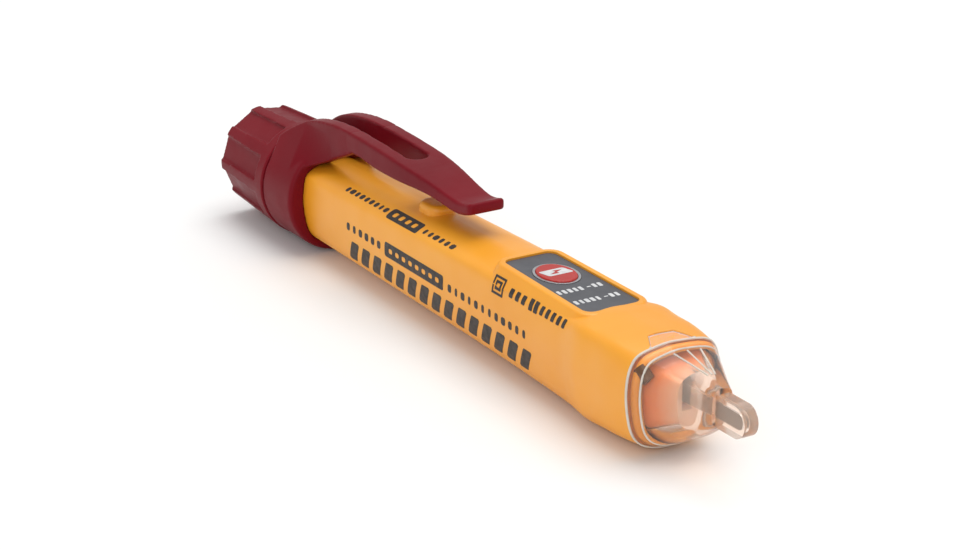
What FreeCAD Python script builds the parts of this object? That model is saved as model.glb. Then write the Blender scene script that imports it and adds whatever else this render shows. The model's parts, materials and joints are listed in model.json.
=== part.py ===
"""Pen-shaped non-contact voltage tester, modelled as separate pieces.

Every piece is built in the axis frame: X is the station, measured from the cap's rear face
towards the probe tip, Y is across, and Z is up from the cap's axis towards the button.
save() moves each piece to the part's own frame, whose origin is the centre of the bounding
box's underside, and writes one STEP file for it. All lengths are in millimetres.
"""
import FreeCAD
import Part
import math
import os

V = FreeCAD.Vector
X_AXIS = V(1, 0, 0)
Y_AXIS = V(0, 1, 0)
Z_AXIS = V(0, 0, 1)

# --- overall ---------------------------------------------------------------------------------
overall_length = 158.0
assembly_gap = 0.05          # between pieces that are fixed to each other
running_gap = 0.06           # radial, between a shaft and its hole
moving_gap = 0.15            # between faces that pass each other
past = 1.0                   # how far a cutting shape runs on past the piece it cuts
near = 0.01                  # how close an edge lies to the face it is picked by

# --- AAA cells -------------------------------------------------------------------------------
cell_radius = 5.25
cell_body_length = 43.5
cell_nub_radius = 1.9
cell_nub_length = 1.0
cell_edge_round = 0.4

# --- battery cap -----------------------------------------------------------------------------
cap_rear_radius = 9.9
cap_seam_radius = 10.83
cap_length = 19.1
cap_end_wall = 1.9
cap_rim_round = 0.9
carrier_pin_radius = 1.5
carrier_pin_length = 0.95
flute_count = 9
flute_width = 4.7
flute_depth = 0.9
flute_length = 16.0
flute_start_angle = 33.0
flute_corner_round = 0.3
flute_overrun = 4.0             # behind the cap's end and above its surface
thread_pitch = 4.0
thread_ridge_height = 0.6
thread_ridge_width = 1.3
thread_turns = 1.5
thread_start = 8.0
thread_lead_in = 1.0            # the cap's ridge starts this much further in
thread_root_sink = 0.3
seal_counterbore_step = 1.25    # the seal's seat is this much wider in radius than the tail
seal_counterbore_depth = 2.8

# --- threaded tail of the housing ------------------------------------------------------------
tail_wall = 0.95
tail_start = 3.9
seal_wire_radius = 0.6
seal_side_gap = 0.03
cavity_overlap = 0.5            # how far the board's cavity reaches back over the bore

# --- battery chassis -------------------------------------------------------------------------
sleeve_wall = 0.5
cell_gap = 0.2
sleeve_start = 5.0
chassis_end_wall = 1.2
spring_radius = 3.4
spring_wire_radius = 0.25
spring_coils = 4
spring_length = 4.7
contact_thickness = 0.3
tongue_radius = 1.3
tongue_proud = 0.8
tongue_hole_gap = 0.1
strip_width = 3.0
strip_reach = 2.5
strip_rim = 0.3
strip_rim_gap = 0.1
rail_root = 0.6
rail_end_gap = 3.0

# --- clip collar -----------------------------------------------------------------------------
collar_gap = 0.2
collar_radius = 10.6
collar_front = 30.0
collar_edge_round = 0.6
collar_seat = 24.0
hump_foot_half_width = 9.5
hump_foot_height = 4.8
hump_front_lift = 1.85
hump_foot_sink = 0.2
saddle_overlap = 0.5
hump_slant_top = 14.0
hump_slant_end = 27.0
hump_straight_start = 36.0

# --- pocket clip -----------------------------------------------------------------------------
clip_top = 16.5
clip_half_width = 4.9
clip_thickness = 3.8
clip_pivot_station = 43.5
clip_taper_start = 62.0
clip_lip_bend = 76.5
clip_lip_half_width = 3.6
clip_end = 82.6
clip_lip_thickness = 2.1
clip_lip_drop = 1.95
clip_lip_rise = 0.8
clip_lip_sag = 0.05
clip_back_span = 8.0            # between the points that shape the arm's back and belly
clip_back_falls = (0.2, 0.85, 1.75)
clip_belly_drop = 0.5
clip_heel_setback = 0.5
clip_heel_drop = 1.1
clip_sole_drop = 0.9
clip_belly_front_drop = 0.35
clip_taper_lead = 4.0
clip_taper_share = 0.8
clip_corner = 1.0
slot_half_width = 2.2
slot_end = 60.5
clip_edge_round = 0.5

# --- housing ---------------------------------------------------------------------------------
lens_seam = 137.4
head_wall = 1.6
# half width, ridge height, shoulder half width, shoulder height and depth of each section
barrel_rear_section = (7.5, 7.1, 6.5, 5.1, 8.7)
barrel_front_section = (8.1, 8.1, 7.1, 6.4, 9.55)
head_rear_section = (8.65, 8.1, 7.3, 6.6, 10.3)
head_bulge_section = (9.35, 8.3, 7.9, 7.25, 10.75)
head_front_section = (9.2, 8.15, 7.6, 7.1, 10.35)
nose_section = (8.9, 7.85, 6.95, 6.7, 9.75)
barrel_end = 92.0
head_start = 117.0
bulge_station = 123.5
head_front_station = 132.0
nub_station = 65.7
nub_length = 6.4
nub_width = 5.6
nub_top = 9.4
nub_round = 1.0
nub_height = 4.0
nub_corner_share = 0.4
loft_spacing = 4.0
loft_degree = 2

# --- button panel ----------------------------------------------------------------------------
panel_rear = 95.0
panel_front = 121.4
panel_rear_half_width = 4.95
panel_front_half_width = 5.4
panel_corner_radius = 1.7
panel_height = 8.0
panel_tilt = 1.0
panel_thickness = 0.7
panel_recess = 0.35
shaft_depth = 8.0
frame_margin = 1.05
frame_slope_run = 1.6
frame_depth = 3.0
frame_edge_round = 0.45

# --- power button ----------------------------------------------------------------------------
button_station = 104.1
ring_half_length = 4.7
ring_half_width = 3.7
ring_width = 0.45
ring_proud = 0.12
button_proud = 0.35
button_skirt = 0.5
button_edge_round = 0.25
button_stem_radius = 1.3
button_travel = 0.5

# --- circuit board and what it carries -------------------------------------------------------
board_top = 2.0
board_thickness = 1.0
board_rear = 100.0
board_front = 137.0
board_half_width = 5.6
board_corner = 0.8
rail_height = 2.2
rail_width = 1.4
switch_side = 6.0
switch_height = 2.9
plunger_radius = 1.6
plunger_gap = 0.15
plunger_proud = 0.4
switch_floor = 0.6
buzzer_radius = 4.0
buzzer_height = 3.2
buzzer_port_radius = 0.8
buzzer_port_depth = 0.7
buzzer_station = 116.0
controller_station = 114.0
controller_length = 6.4
controller_width = 5.0
controller_height = 1.5
amplifier_station = 124.0
amplifier_side = 3.0
amplifier_height = 1.2
chip_bevel = 0.15
capacitor_radius = 1.5
capacitor_length = 5.0
capacitor_station = 129.5
resistor_length = 1.6
resistor_width = 0.8
resistor_height = 0.5
resistor_pitch = 1.6
resistor_count = 4
resistor_station = 119.3
led_radius = 1.0
led_length = 3.6
led_offset = 2.7
led_setback = 0.4
led_lead_side = 0.45
led_lead_length = 2.5

# --- nose ------------------------------------------------------------------------------------
lens_wall = 1.0
lens_spigot_length = 2.5
lens_spigot_wall = 0.8
tab_rear = 134.0
tab_half_width = 2.4
tab_flare = 1.8
tab_thickness = 0.5
tab_depth = 1.2
seal_thickness = 0.3
seal_setback = 0.6
# station, half width, ridge height, shoulder half width, shoulder height and depth
lens_sections = (
    (139.4, 7.8, 7.3, 6.1, 6.1, 8.7),
    (142.0, 6.5, 6.8, 5.2, 5.6, 7.4),
    (145.0, 4.9, 6.2, 3.9, 5.1, 5.8),
    (147.5, 3.5, 5.6, 2.8, 4.7, 4.1),
    (149.5, 2.5, 5.0, 2.0, 4.3, 2.4),
    (150.6, 2.0, 4.6, 1.6, 4.0, 1.6),
)
lens_cavity_front = 144.5
blade_height = 5.2
blade_centre = 1.05
blade_thickness = 2.6
blade_root = 146.0
diffuser_wall = 0.8
diffuser_gap = 0.35
diffuser_slit = (1.2, 2.4)      # half width and half height of the way through for the antenna
antenna_thickness = 0.4
antenna_height = 2.6
antenna_rear = 141.0
antenna_inset = 1.2
lead_radius = 0.35
lead_overlap = 1.0

# --- derived ---------------------------------------------------------------------------------
axis_height = cap_seam_radius
collar_rear = cap_length + collar_gap
sleeve_inner_radius = cell_radius + cell_gap
sleeve_outer_radius = sleeve_inner_radius + sleeve_wall
tail_bore_radius = sleeve_outer_radius + assembly_gap * 2
tail_radius = tail_bore_radius + tail_wall
seal_counterbore_radius = tail_radius + seal_counterbore_step
cap_bore_radius = tail_radius + thread_ridge_height + moving_gap
carrier_radius = cap_bore_radius - moving_gap * 2
carrier_start = cap_end_wall + moving_gap
cap_plate_start = tail_start - contact_thickness - assembly_gap - contact_thickness
carrier_thickness = cap_plate_start - carrier_start
cells_start = cap_plate_start + contact_thickness + spring_length
cell_length = cell_body_length + cell_nub_length
cells_end = cells_start + 2 * cell_length
chassis_wall_start = cells_end + contact_thickness
clip_knuckle_radius = clip_thickness / 2
clip_pivot_height = clip_top - clip_knuckle_radius
button_half_length = ring_half_length - ring_width
button_half_width = ring_half_width - ring_width
board_bottom = board_top - board_thickness
switch_top = board_top + switch_height


def box(low, high):
    size = V(*high) - V(*low)
    return Part.makeBox(size.x, size.y, size.z, V(*low))


def tube(outer, inner, start, end):
    return rod(outer, start, end).cut(rod(inner, start - past, end + past))


def rod(radius, start, end, y=0.0, z=0.0):
    return Part.makeCylinder(radius, end - start, V(start, y, z), X_AXIS)


def extruded(points, direction):
    wire = Part.makePolygon([V(*p) for p in points] + [V(*points[0])])
    return Part.Face(wire).extrude(direction)


def largest(shape):
    return max(shape.Solids, key=lambda solid: solid.Volume)


def rounded_edges(shape, radius, wanted):
    """Fillet the edges that wanted() accepts."""
    chosen = [edge for edge in shape.Edges if wanted(edge)]
    return shape.makeFillet(radius, chosen) if chosen else shape


def is_upright(edge):
    return edge.BoundBox.ZLength > edge.BoundBox.XLength + edge.BoundBox.YLength


def body_section(station, size, inset=0.0):
    """Smooth closed outline across the body: a low roof, soft shoulders, full sides, round back."""
    half_width, ridge, shoulder_y, shoulder_z, depth = size
    w = half_width - inset
    top = ridge - inset
    sy = shoulder_y - inset * 0.8
    sz = shoulder_z - inset * 0.7
    low = depth - inset
    side = [
        (0.55 * sy, top - 0.28 * (top - sz)),
        (0.94 * sy, sz + 0.16 * (top - sz)),
        (sy + 0.5 * (w - sy), sz * 0.83),
        (0.975 * w, sz * 0.5),
        (w, 0.0),
        (0.955 * w, -0.35 * low),
        (0.875 * w, -0.62 * low),
        (0.71 * w, -0.83 * low),
        (0.4 * w, -0.965 * low),
    ]
    right = [V(station, y, z) for y, z in side]
    left = [V(station, -y, z) for y, z in reversed(side)]
    points = [V(station, 0, top)] + right + [V(station, 0, -low)] + left
    parameters = [i / len(points) for i in range(len(points) + 1)]
    curve = Part.BSplineCurve()
    curve.interpolate(Points=points, PeriodicFlag=True, Parameters=parameters)
    return Part.Wire([curve.toShape()])


def key_sections():
    """The sections that shape the body, from the collar seat to the front of the lens."""
    keys = [
        (collar_seat, barrel_rear_section),
        (barrel_end, barrel_front_section),
        (head_start, head_rear_section),
        (bulge_station, head_bulge_section),
        (head_front_station, head_front_section),
        (lens_seam, nose_section),
    ]
    return keys + [(row[0], row[1:]) for row in lens_sections]


def size_at(station):
    """Section size anywhere along the body, eased through the key sections."""
    keys = key_sections()
    stations = [key[0] for key in keys]
    secants = []
    for (x0, low), (x1, high) in zip(keys, keys[1:]):
        secants.append([(b - a) / (x1 - x0) for a, b in zip(low, high)])
    index = max(0, min(len(secants) - 1, sum(1 for x in stations if x <= station) - 1))
    x0, low = keys[index]
    x1, high = keys[index + 1]
    span = x1 - x0
    u = (station - x0) / span
    before = secants[max(index - 1, 0)]
    after = secants[min(index + 1, len(secants) - 1)]
    result = []
    for a, b, m, m_before, m_after in zip(low, high, secants[index], before, after):
        start_slope = eased_slope(m_before, m)
        end_slope = eased_slope(m, m_after)
        value = a + (b - a) * u * u * (3 - 2 * u)
        value += span * start_slope * u * (1 - u) ** 2 - span * end_slope * u * u * (1 - u)
        result.append(value)
    return tuple(result)


def eased_slope(before, after):
    """Slope at a key section: none at a peak, or the harmonic mean of its two sides."""
    if before * after <= 0:
        return 0.0
    return 2 * before * after / (before + after)


def stretch(start, end, inset=0.0):
    """The body's shape between two stations, inset by a wall."""
    count = max(2, math.ceil((end - start) / loft_spacing))
    stations = [start + (end - start) * i / count for i in range(count + 1)]
    sections = [body_section(x, size_at(x), inset) for x in stations]
    return Part.makeLoft(sections, True, False, False, loft_degree)


def helical_ridge(surface_radius, outward, start, turns, phase):
    """One thread ridge, standing off a cylinder about the X axis."""
    height = thread_ridge_height
    direction = 1 if outward else -1
    helix = Part.makeHelix(thread_pitch, thread_pitch * turns, surface_radius)
    foot = surface_radius - direction * thread_root_sink
    crest = surface_radius + direction * height
    half_foot = thread_ridge_width / 2
    half_crest = thread_ridge_width / 4
    corners = [V(foot, 0, -half_foot), V(crest, 0, -half_crest),
               V(crest, 0, half_crest), V(foot, 0, half_foot)]
    profile = Part.makePolygon(corners + [corners[0]])
    sweep = Part.BRepOffsetAPI.MakePipeShell(Part.Wire(helix.Edges))
    sweep.setFrenetMode(True)
    sweep.add(profile)
    sweep.build()
    sweep.makeSolid()
    ridge = sweep.shape()
    ridge.rotate(V(0, 0, 0), Z_AXIS, phase)
    ridge.rotate(V(0, 0, 0), Y_AXIS, 90)
    ridge.translate(V(start, 0, 0))
    return ridge


# --- battery cap -----------------------------------------------------------------------------
def is_flute_floor_edge(edge):
    return edge.BoundBox.ZMax < near and edge.BoundBox.XLength > near


def make_battery_cap():
    taper = math.degrees(math.atan2(cap_seam_radius - cap_rear_radius, cap_length))
    body = Part.makeCone(cap_rear_radius, cap_seam_radius, cap_length, V(0, 0, 0), X_AXIS)
    body = rounded_edges(body, cap_rim_round, lambda e: e.BoundBox.XMax < near)
    for index in range(flute_count):
        half = flute_width / 2
        flute = box((-flute_overrun, -half, 0), (flute_length, half, flute_overrun))
        flute = rounded_edges(flute, flute_corner_round, is_flute_floor_edge)
        flute.rotate(V(0, 0, 0), Y_AXIS, -taper)
        flute.translate(V(0, 0, cap_rear_radius - flute_depth))
        flute.rotate(V(0, 0, 0), X_AXIS, flute_start_angle + index * 360 / flute_count)
        body = body.cut(flute)
    body = body.cut(rod(cap_bore_radius, cap_end_wall, cap_length + past))
    body = body.cut(rod(seal_counterbore_radius, cap_length - seal_counterbore_depth, cap_length + past))
    socket_floor = cap_end_wall - carrier_pin_length - moving_gap
    body = body.cut(rod(carrier_pin_radius + running_gap, socket_floor, cap_end_wall + past))
    ridge = helical_ridge(cap_bore_radius, False, thread_start + thread_lead_in, thread_turns, 180)
    return largest(body.fuse(ridge))


def make_contact_carrier():
    """Swivel disc that stays still against the cells while the cap turns around it."""
    disc = rod(carrier_radius, carrier_start, carrier_start + carrier_thickness)
    pin = rod(carrier_pin_radius, cap_end_wall - carrier_pin_length, carrier_start)
    return disc.fuse(pin).removeSplitter()


def make_cap_contact_plate():
    return rod(carrier_radius, cap_plate_start, cap_plate_start + contact_thickness)


def make_cap_spring():
    """Coil spring that presses on the rear cell."""
    wire = spring_wire_radius
    coil_radius = spring_radius - wire
    pitch = (spring_length - 2 * wire) / spring_coils
    helix = Part.makeHelix(pitch, pitch * spring_coils, coil_radius)
    profile = Part.Wire(Part.makeCircle(wire, V(coil_radius, 0, 0), Y_AXIS))
    sweep = Part.BRepOffsetAPI.MakePipeShell(Part.Wire(helix.Edges))
    sweep.setFrenetMode(True)
    sweep.add(profile)
    sweep.build()
    sweep.makeSolid()
    spring = sweep.shape()
    spring.rotate(V(0, 0, 0), Y_AXIS, 90)
    spring.translate(V(cap_plate_start + contact_thickness + wire, 0, 0))
    return spring


# --- cells and their chassis -----------------------------------------------------------------
def make_cell(start):
    can = rod(cell_radius, start, start + cell_body_length)
    can = rounded_edges(can, cell_edge_round, lambda e: e.BoundBox.XLength < near)
    nub = rod(cell_nub_radius, start + cell_body_length, start + cell_length)
    return can.fuse(nub).removeSplitter()


def make_battery_chassis():
    """Sleeve for the cells, its end wall, and the two rails that hold the board."""
    wall_end = chassis_wall_start + chassis_end_wall
    sleeve = tube(sleeve_outer_radius, sleeve_inner_radius, sleeve_start, chassis_wall_start)
    wall = rod(sleeve_outer_radius, chassis_wall_start, wall_end)
    wall = wall.cut(rod(tongue_radius + tongue_hole_gap, chassis_wall_start - past, wall_end + past))
    body = sleeve.fuse(wall)
    for side in (-1, 1):
        inner = board_half_width - rail_width
        low = sorted((side * inner, side * board_half_width))
        rail = box((wall_end - rail_root, low[0], board_bottom - rail_height),
                   (board_front - rail_end_gap, low[1], board_bottom))
        body = body.fuse(rail)
    return largest(body.removeSplitter())


def make_front_contact():
    plate = rod(sleeve_inner_radius - assembly_gap, cells_end, cells_end + contact_thickness)
    tongue = rod(tongue_radius, cells_end, chassis_wall_start + chassis_end_wall + tongue_proud)
    return plate.fuse(tongue).removeSplitter()


def strip_height_range():
    top = -(sleeve_outer_radius + assembly_gap)
    return top - contact_thickness, top


def make_contact_strip():
    """Runs outside the sleeve from the cap's contact plate to the board."""
    low, high = strip_height_range()
    half = strip_width / 2
    front = chassis_wall_start + chassis_end_wall + strip_reach
    rear = tail_start - contact_thickness - assembly_gap
    run = box((rear, -half, low), (front, half, high))
    rim_tab = box((rear, -half, low - strip_rim), (rear + contact_thickness, half, high + strip_rim))
    riser = box((front - contact_thickness, -half, low), (front, half, board_bottom))
    return run.fuse([rim_tab, riser]).removeSplitter()


# --- clip and collar -------------------------------------------------------------------------
def crest_curve(end):
    """Back of the clip as it rises out of the collar, from the cap seam to the pivot."""
    rise = clip_top - collar_radius
    run = end - collar_rear
    shares = ((0.0, -0.12), (0.08, 0.14), (0.17, 0.36), (0.24, 0.52), (0.35, 0.7), (0.52, 0.86), (0.7, 0.96),
              (1.0, 1.0))
    points = [V(collar_rear + run * u, 0, collar_radius + rise * v) for u, v in shares]
    curve = Part.BSplineCurve()
    curve.interpolate(points)
    return curve.toShape(), points[0], points[-1]


def hump_side_profile():
    """Side view of the hump, swept across the full collar width."""
    crest, first, last = crest_curve(clip_pivot_station)
    underside = clip_top - clip_thickness
    corners = [
        last,
        V(clip_pivot_station, 0, underside),
        V(collar_front, 0, hump_foot_height + hump_front_lift),
        V(collar_front, 0, hump_foot_height),
        V(collar_rear, 0, hump_foot_height),
        first,
    ]
    lines = [Part.makeLine(a, b) for a, b in zip(corners, corners[1:])]
    face = Part.Face(Part.Wire([crest] + lines))
    width = 2 * collar_radius
    face.translate(V(0, -width / 2, 0))
    return face.extrude(V(0, width, 0))


def hump_envelope():
    """Sides that lean in from the collar's flanks to the narrow clip."""
    roof = clip_top + past
    ground = hump_foot_height - hump_foot_sink

    def outline(station, foot):
        half = clip_half_width
        corners = [(-foot, ground), (-half, hump_slant_top), (-half, roof),
                   (half, roof), (half, hump_slant_top), (foot, ground)]
        points = [V(station, y, z) for y, z in corners]
        return Part.makePolygon(points + [points[0]])

    wide = outline(collar_rear - near, hump_foot_half_width)
    rear = Part.makeLoft([wide, outline(hump_slant_end, hump_foot_half_width)], True, True)
    narrow = outline(hump_straight_start, clip_half_width)
    middle = Part.makeLoft([outline(hump_slant_end, hump_foot_half_width), narrow], True, True)
    front = Part.makeLoft([narrow, outline(clip_pivot_station + past, clip_half_width)], True, True)
    return rear.fuse([middle, front])


def slot_cutter(start, floor):
    centre = slot_end - slot_half_width
    run = box((start, -slot_half_width, floor), (centre, slot_half_width, clip_top + past))
    end = Part.makeCylinder(slot_half_width, clip_top + past - floor, V(centre, 0, floor))
    return run.fuse(end)


def make_clip_collar():
    """Ring trapped between the cap and the barrel, with the hump that carries the clip."""
    ring = rod(collar_radius, collar_rear, collar_front)
    ring = rounded_edges(ring, collar_edge_round, lambda e: e.BoundBox.XMin > collar_front - near)
    hump = hump_side_profile().common(hump_envelope())
    body = ring.fuse(hump)
    body = body.cut(slot_cutter(collar_rear - past, collar_radius))
    body = body.cut(box((collar_front, -slot_half_width, 0), (slot_end, slot_half_width, clip_top + past)))
    saddle = Part.makeCylinder(clip_knuckle_radius + moving_gap, 4 * collar_radius,
                               V(clip_pivot_station, -2 * collar_radius, clip_pivot_height), Y_AXIS)
    body = body.cut(saddle)
    clip_room = clip_pivot_station - saddle_overlap
    body = body.cut(box((clip_room, -collar_radius, 0), (clip_end, collar_radius, clip_top + past)))
    body = body.cut(stretch(collar_seat, clip_pivot_station, -assembly_gap))
    body = body.cut(rod(tail_radius + assembly_gap, collar_rear - past, collar_seat + past))
    return largest(body.removeSplitter())


def clip_side_profile():
    """Side view of the arm: straight back, long gentle fall, upturned lip."""
    lip_top = clip_top - clip_lip_drop
    low = lip_top - clip_lip_thickness
    dip = lip_top - clip_lip_rise
    under = clip_top - clip_thickness
    second = clip_pivot_station + clip_back_span
    fourth = clip_taper_start + clip_back_span
    lip_middle = (clip_lip_bend + clip_end) / 2
    back = Part.BSplineCurve()
    back.interpolate([
        V(clip_pivot_station, 0, clip_top),
        V(second, 0, clip_top - clip_back_falls[0]),
        V(clip_taper_start, 0, clip_top - clip_back_falls[1]),
        V(fourth, 0, clip_top - clip_back_falls[2]),
        V(clip_lip_bend, 0, dip),
    ], InitialTangent=X_AXIS, FinalTangent=V(8, 0, -1))
    lip_dip = V(lip_middle, 0, dip - clip_lip_sag)
    lip = Part.Arc(V(clip_lip_bend, 0, dip), lip_dip, V(clip_end, 0, lip_top)).toShape()
    nose = Part.makeLine(V(clip_end, 0, lip_top), V(clip_end, 0, low))
    heel = V(clip_lip_bend - clip_heel_setback, 0, low - clip_heel_drop)
    sole = Part.Arc(V(clip_end, 0, low), V(lip_middle, 0, low - clip_sole_drop), heel).toShape()
    belly = Part.BSplineCurve()
    belly.interpolate([
        heel,
        V(fourth, 0, low - clip_belly_front_drop),
        V(clip_taper_start, 0, under - clip_belly_drop),
        V(second, 0, under - clip_belly_drop),
        V(clip_pivot_station, 0, under),
    ], InitialTangent=V(-8, 0, 1), FinalTangent=-X_AXIS)
    knuckle = Part.Arc(V(clip_pivot_station, 0, under),
                       V(clip_pivot_station - clip_knuckle_radius, 0, clip_pivot_height),
                       V(clip_pivot_station, 0, clip_top)).toShape()
    wire = Part.Wire([back.toShape(), lip, nose, sole, belly.toShape(), knuckle])
    face = Part.Face(wire)
    face.translate(V(0, -collar_radius, 0))
    return face.extrude(V(0, 2 * collar_radius, 0))


def clip_plan_profile():
    """Plan view of the arm: parallel at the root, narrowing to a rounded lip."""
    corner = clip_corner
    rear = clip_pivot_station - clip_knuckle_radius - past
    wide = clip_half_width
    tip = clip_lip_half_width
    taper = clip_taper_start - clip_taper_lead
    bend = corner * (1 - math.sqrt(0.5))
    side = Part.BSplineCurve()
    side.interpolate([
        V(taper, wide, 0),
        V(clip_taper_start + clip_back_span, wide - clip_taper_share, 0),
        V(clip_lip_bend, tip + clip_lip_sag, 0),
        V(clip_end - corner, tip, 0),
    ], InitialTangent=X_AXIS, FinalTangent=X_AXIS)
    upper = [
        Part.makeLine(V(rear, wide, 0), V(taper, wide, 0)),
        side.toShape(),
        Part.Arc(V(clip_end - corner, tip, 0), V(clip_end - bend, tip - bend, 0),
                 V(clip_end, tip - corner, 0)).toShape(),
    ]
    lower = [edge.mirror(V(0, 0, 0), Y_AXIS) for edge in upper]
    close = [Part.makeLine(V(rear, -wide, 0), V(rear, wide, 0)),
             Part.makeLine(V(clip_end, -(tip - corner), 0), V(clip_end, tip - corner, 0))]
    wire = Part.Wire(Part.__sortEdges__(upper + lower + close))
    return Part.Face(wire).extrude(V(0, 0, clip_top + past))


def is_lip_edge(edge):
    return edge.BoundBox.XMin > clip_end - near and edge.BoundBox.YLength > clip_lip_half_width


def make_pocket_clip():
    body = clip_side_profile().common(clip_plan_profile())
    body = body.cut(slot_cutter(clip_pivot_station - clip_thickness, 0))
    return rounded_edges(largest(body), clip_edge_round, is_lip_edge)


# --- housing ---------------------------------------------------------------------------------
def panel_length():
    return panel_front - panel_rear


def panel_outline(margin, height):
    """Rounded trapezoid in the panel's own frame, X along it from its middle."""
    half = panel_length() / 2 + margin
    rear = panel_rear_half_width + margin
    front = panel_front_half_width + margin
    corner = panel_corner_radius + margin
    points = [V(-half, -rear, height), V(half, -front, height),
              V(half, front, height), V(-half, rear, height)]
    face = Part.Face(Part.makePolygon(points + [points[0]]))
    solid = rounded_edges(face.extrude(Z_AXIS), corner, is_upright)
    bottom = min(solid.Faces, key=lambda f: f.CenterOfMass.z)
    return bottom.OuterWire


def on_panel(shape):
    """Move a shape from the panel's own frame to its tilted place on the housing."""
    placed = shape.copy()
    placed.rotate(V(0, 0, 0), Y_AXIS, panel_tilt)
    placed.translate(V((panel_rear + panel_front) / 2, 0, panel_height))
    return placed


def panel_prism(margin, low, high):
    wire = panel_outline(margin, low)
    return on_panel(Part.Face(wire).extrude(V(0, 0, high - low)))


def button_offset():
    return button_station - (panel_rear + panel_front) / 2


def oval(half_length, half_width, low, high):
    """Oval prism at the button's place, in the panel's own frame."""
    ellipse = Part.Ellipse(V(button_offset(), 0, low), half_length, half_width)
    face = Part.Face(Part.Wire(ellipse.toShape()))
    return face.extrude(V(0, 0, high - low))


def make_frame():
    """Raised frame around the panel, with sloping sides."""
    foot = panel_outline(frame_margin + frame_slope_run, panel_recess - frame_depth)
    head = panel_outline(frame_margin, panel_recess)
    frame = Part.makeLoft([foot, head], True, True)
    frame = rounded_edges(frame, frame_edge_round, lambda e: e.BoundBox.ZMin > panel_recess - near)
    return on_panel(frame)


def make_nub():
    """Low bump under the clip's lip, which a pocket hem is pinched against."""
    base = box((nub_station - nub_length / 2, -nub_width / 2, nub_top - nub_height),
               (nub_station + nub_length / 2, nub_width / 2, nub_top))
    base = rounded_edges(base, nub_width * nub_corner_share, is_upright)
    return rounded_edges(base, nub_round, lambda e: e.BoundBox.ZMin > nub_top - near)


def make_housing():
    shell = stretch(collar_seat, lens_seam)
    shell = shell.fuse([make_frame(), make_nub()])
    tail = rod(tail_radius, tail_start, collar_seat + past)
    ridge = helical_ridge(tail_radius, True, thread_start, thread_turns, 0)
    shell = shell.fuse([tail, ridge])
    cavity_rear = chassis_wall_start - cavity_overlap
    bore_end = cavity_rear + 2 * past
    shell = shell.cut(stretch(cavity_rear, lens_seam, head_wall))
    shell = shell.cut(rod(tail_bore_radius, tail_start - past, bore_end))
    low, high = strip_height_range()
    half = strip_width / 2 + assembly_gap
    rim = strip_rim + strip_rim_gap
    shell = shell.cut(box((tail_start - past, -half, low - assembly_gap), (bore_end, half, 0)))
    shell = shell.cut(box((tail_start - past, -half, low - rim), (tail_start + near, half, high + rim)))
    shell = shell.cut(make_seal_ring(assembly_gap))
    shell = shell.cut(panel_prism(0, -panel_thickness, panel_recess + past))
    shaft = oval(button_half_length, button_half_width, -shaft_depth, past)
    shell = shell.cut(on_panel(shaft))
    shell = shell.cut(lens_tab(assembly_gap))
    return largest(shell)


def make_keypad_panel():
    plate = panel_prism(-assembly_gap, -panel_thickness, 0)
    hole = on_panel(oval(ring_half_length + assembly_gap, ring_half_width + assembly_gap, -past, past))
    return plate.cut(hole)


def make_button_ring():
    ring = oval(ring_half_length, ring_half_width, -panel_thickness, ring_proud)
    ring = ring.cut(oval(button_half_length, button_half_width, -past, past))
    return on_panel(ring)


def make_power_button():
    gap = running_gap
    skirt = -panel_thickness - button_skirt
    cap = oval(button_half_length - gap, button_half_width - gap, skirt, button_proud)
    cap = rounded_edges(cap, button_edge_round, lambda e: e.BoundBox.ZMin > button_proud - near)
    lift = -button_offset() * math.tan(math.radians(panel_tilt))
    stem_end = switch_top + plunger_proud + plunger_gap - panel_height - lift
    stem = Part.makeCylinder(button_stem_radius, -stem_end, V(button_offset(), 0, stem_end))
    return on_panel(cap.fuse(stem).removeSplitter())


# --- circuit board ---------------------------------------------------------------------------
def make_circuit_board():
    board = box((board_rear, -board_half_width, board_bottom), (board_front, board_half_width, board_top))
    return rounded_edges(board, board_corner, is_upright)


def make_switch_body():
    half = switch_side / 2
    body = box((button_station - half, -half, board_top), (button_station + half, half, switch_top))
    floor = V(button_station, 0, board_top + switch_floor)
    bore = Part.makeCylinder(plunger_radius + running_gap, switch_height, floor)
    return body.cut(bore)


def make_switch_plunger():
    low = board_top + switch_floor + button_travel + moving_gap
    height = switch_top + plunger_proud - low
    return Part.makeCylinder(plunger_radius, height, V(button_station, 0, low))


def make_buzzer():
    low = board_bottom - buzzer_height
    can = Part.makeCylinder(buzzer_radius, buzzer_height, V(buzzer_station, 0, low))
    port = Part.makeCylinder(buzzer_port_radius, buzzer_port_depth + past, V(buzzer_station, 0, low - past))
    return can.cut(port)


def chip(station, length, width, height):
    top = board_top + height
    body = box((station - length / 2, -width / 2, board_top), (station + length / 2, width / 2, top))
    return body.makeChamfer(chip_bevel, [edge for edge in body.Edges if edge.BoundBox.ZMin > top - near])


def make_bulk_capacitor():
    half = capacitor_length / 2
    z = board_top + capacitor_radius
    return Part.makeCylinder(capacitor_radius, capacitor_length, V(capacitor_station, -half, z), Y_AXIS)


def make_resistor(index):
    y = (index - (resistor_count - 1) / 2) * resistor_pitch
    half = resistor_length / 2
    return box((resistor_station - half, y - resistor_width / 2, board_top),
               (resistor_station + half, y + resistor_width / 2, board_top + resistor_height))


def make_led(side):
    y = side * led_offset
    z = board_top + led_radius
    start = lens_seam - led_setback - led_length
    body = rod(led_radius, start, start + led_length - led_radius, y, z)
    dome = Part.makeSphere(led_radius, V(start + led_length - led_radius, y, z))
    lead_half = led_lead_side / 2
    lead = box((start - led_lead_length, y - lead_half, board_top), (start, y + lead_half, z))
    return body.fuse([dome, lead]).removeSplitter()


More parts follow.
